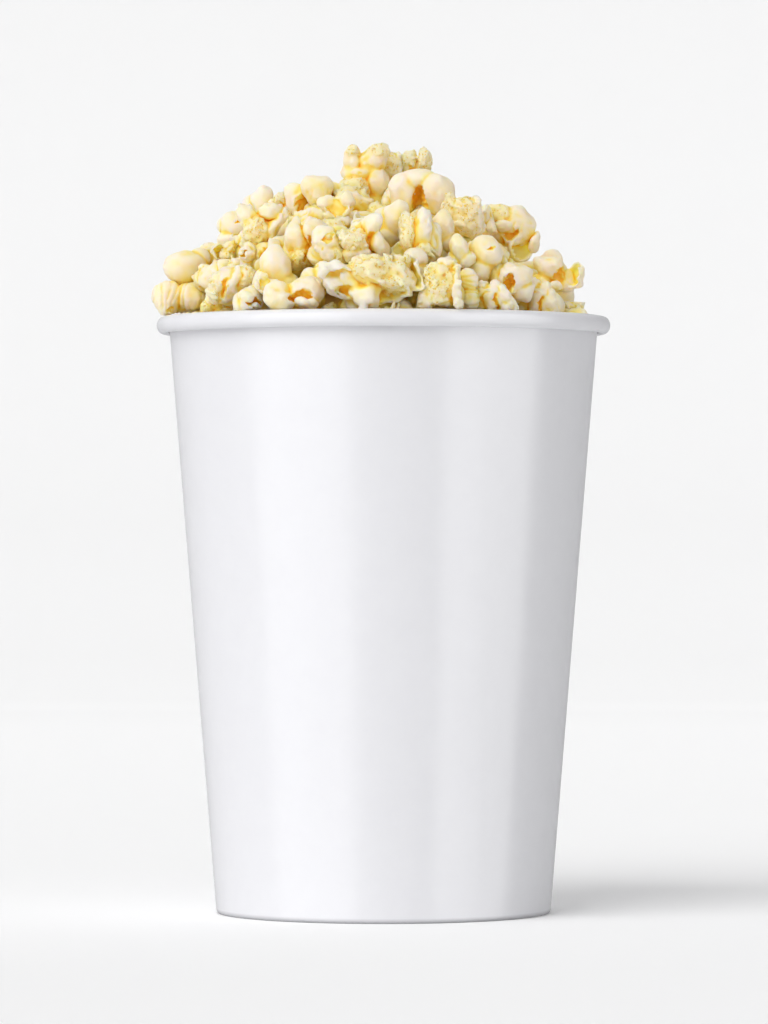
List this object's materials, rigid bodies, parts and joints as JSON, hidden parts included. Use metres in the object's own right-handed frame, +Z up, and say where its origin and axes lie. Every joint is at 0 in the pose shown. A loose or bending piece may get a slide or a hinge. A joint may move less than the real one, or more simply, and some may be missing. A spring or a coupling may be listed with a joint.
{
  "type": "bucket of popcorn",
  "caption": "Round tapered paper tub with a rolled rim and a recessed base, heaped with popped corn above the rim.",
  "frame": {"origin": "on the tub's axis, in the plane of the surface that it stands on", "axes": "+Z up along the tub's axis; the side that the picture shows faces -Y, with +X to its right"},
  "size_m": [0.176, 0.176, 0.297],
  "materials": {
    "white_board": "satin",
    "popped_corn": "matte"
  },
  "bodies": {
    "root": {"tub_wall": "white_board", "tub_base": "white_board", "popcorn_heap": "popped_corn"}
  },
  "joints": []
}
